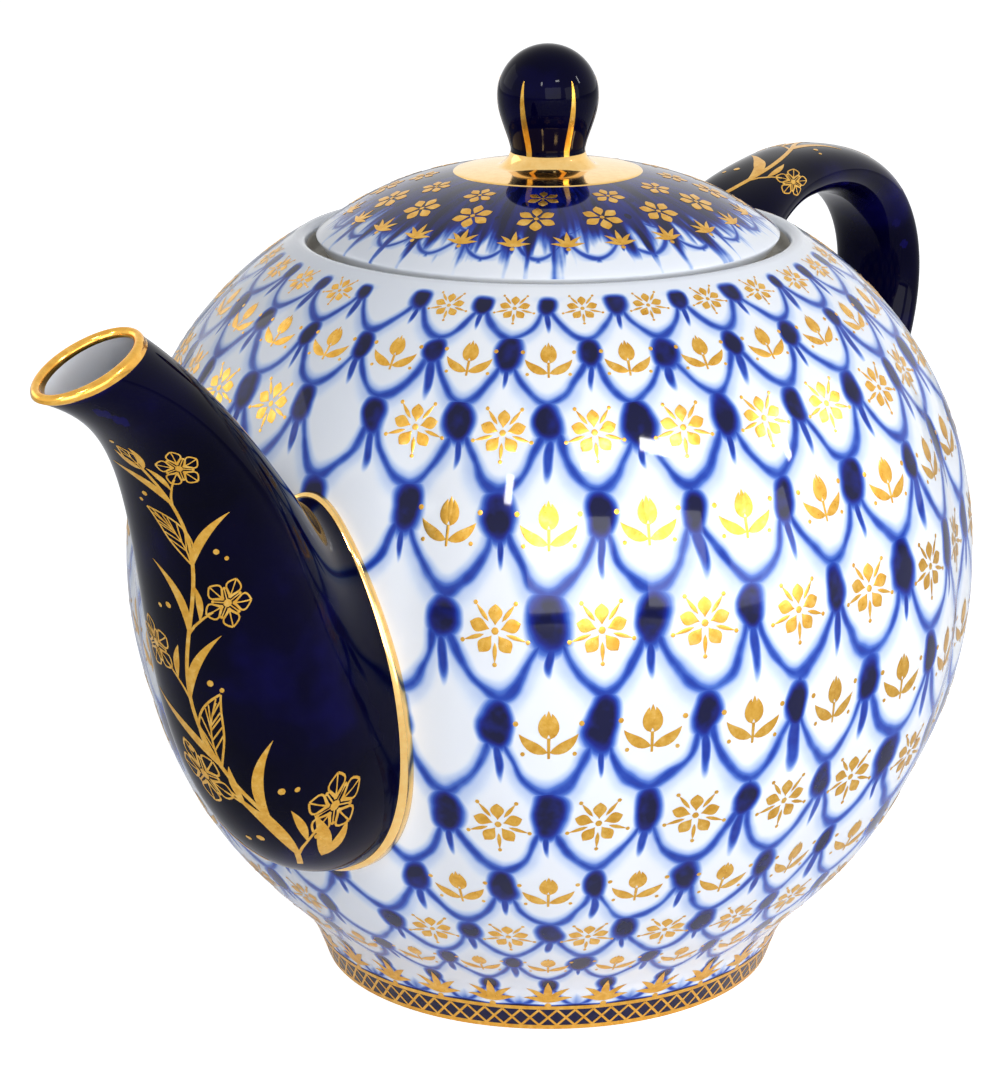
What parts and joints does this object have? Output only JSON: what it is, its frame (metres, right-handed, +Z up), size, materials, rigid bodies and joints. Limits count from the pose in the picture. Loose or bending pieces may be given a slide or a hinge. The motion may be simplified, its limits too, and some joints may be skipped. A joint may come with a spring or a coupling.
{
  "type": "teapot",
  "caption": "Porcelain teapot with a lobed spherical body on a flared foot ring, curved spout, ear-shaped handle and a domed lift-off lid with a round knob.",
  "frame": {"origin": "centre of the foot ring, on the table", "axes": "+Z up, +X towards the handle with the spout towards -X, +Y to the side"},
  "size_m": [0.2136, 0.1198, 0.131],
  "materials": {
    "glaze_white": "gloss glaze over porcelain",
    "glaze_cobalt": "gloss glaze over underglaze cobalt",
    "gilding": "burnished gold"
  },
  "bodies": {
    "pot": {"pot_body": "glaze_white", "spout": "glaze_cobalt", "spout_root_band": "gilding", "spout_lip_gilding": "gilding", "handle": "glaze_cobalt"},
    "lid": {"lid": "glaze_white", "knob": "glaze_cobalt", "knob_collar_gilding": "gilding"}
  },
  "joints": [
    {"name": "lid_lift", "type": "slide", "parent": "pot", "child": "lid", "axis": [0, 0, 1], "range_m": [0, 0.08]}
  ]
}
